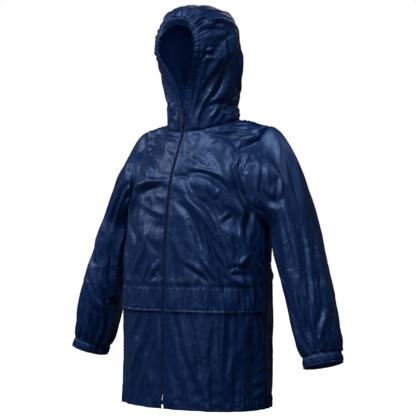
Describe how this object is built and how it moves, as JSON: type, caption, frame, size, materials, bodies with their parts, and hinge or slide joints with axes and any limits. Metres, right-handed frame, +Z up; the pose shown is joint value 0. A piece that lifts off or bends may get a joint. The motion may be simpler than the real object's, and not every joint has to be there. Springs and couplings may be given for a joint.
{
  "type": "child's hooded rain jacket",
  "caption": "Hooded child's rain jacket in coated nylon, zipped at the front, with elastic hood edge and cuffs and a flap across each front; hollow, in its worn shape.",
  "frame": {"origin": "middle of the neck at shoulder height, where the wearer's shoulders carry the jacket", "axes": "+Z up along the wearer's spine, -Y out of the zipped front, +X to the wearer's left"},
  "size_m": [0.7202, 0.2588, 0.8961],
  "materials": {
    "coated_nylon": "crisp navy nylon with a shiny waterproof coating",
    "zip_tape": "matt woven navy tape",
    "zip_plastic": "satin",
    "zip_metal": "satin dark navy enamel"
  },
  "bodies": {
    "coat": {"front_left": "coated_nylon", "front_right": "coated_nylon", "back": "coated_nylon", "sleeve_left": "coated_nylon", "sleeve_right": "coated_nylon", "cuff_left": "coated_nylon", "cuff_right": "coated_nylon", "hood_left": "coated_nylon", "hood_right": "coated_nylon", "hood_casing": "coated_nylon", "pocket_flap_left": "coated_nylon", "pocket_flap_right": "coated_nylon", "zip_tape_left": "zip_tape", "zip_tape_right": "zip_tape", "zip_coil": "zip_plastic", "zip_box": "zip_plastic", "zip_slider": "zip_metal"},
    "pull": {"zip_pull": "zip_metal"}
  },
  "joints": [
    {"name": "pull_swing", "type": "hinge", "parent": "coat", "child": "pull", "pos_m": [0, -0.0582, 0.0615], "axis": [-1, 0, 0], "range_deg": [0, 150]}
  ]
}
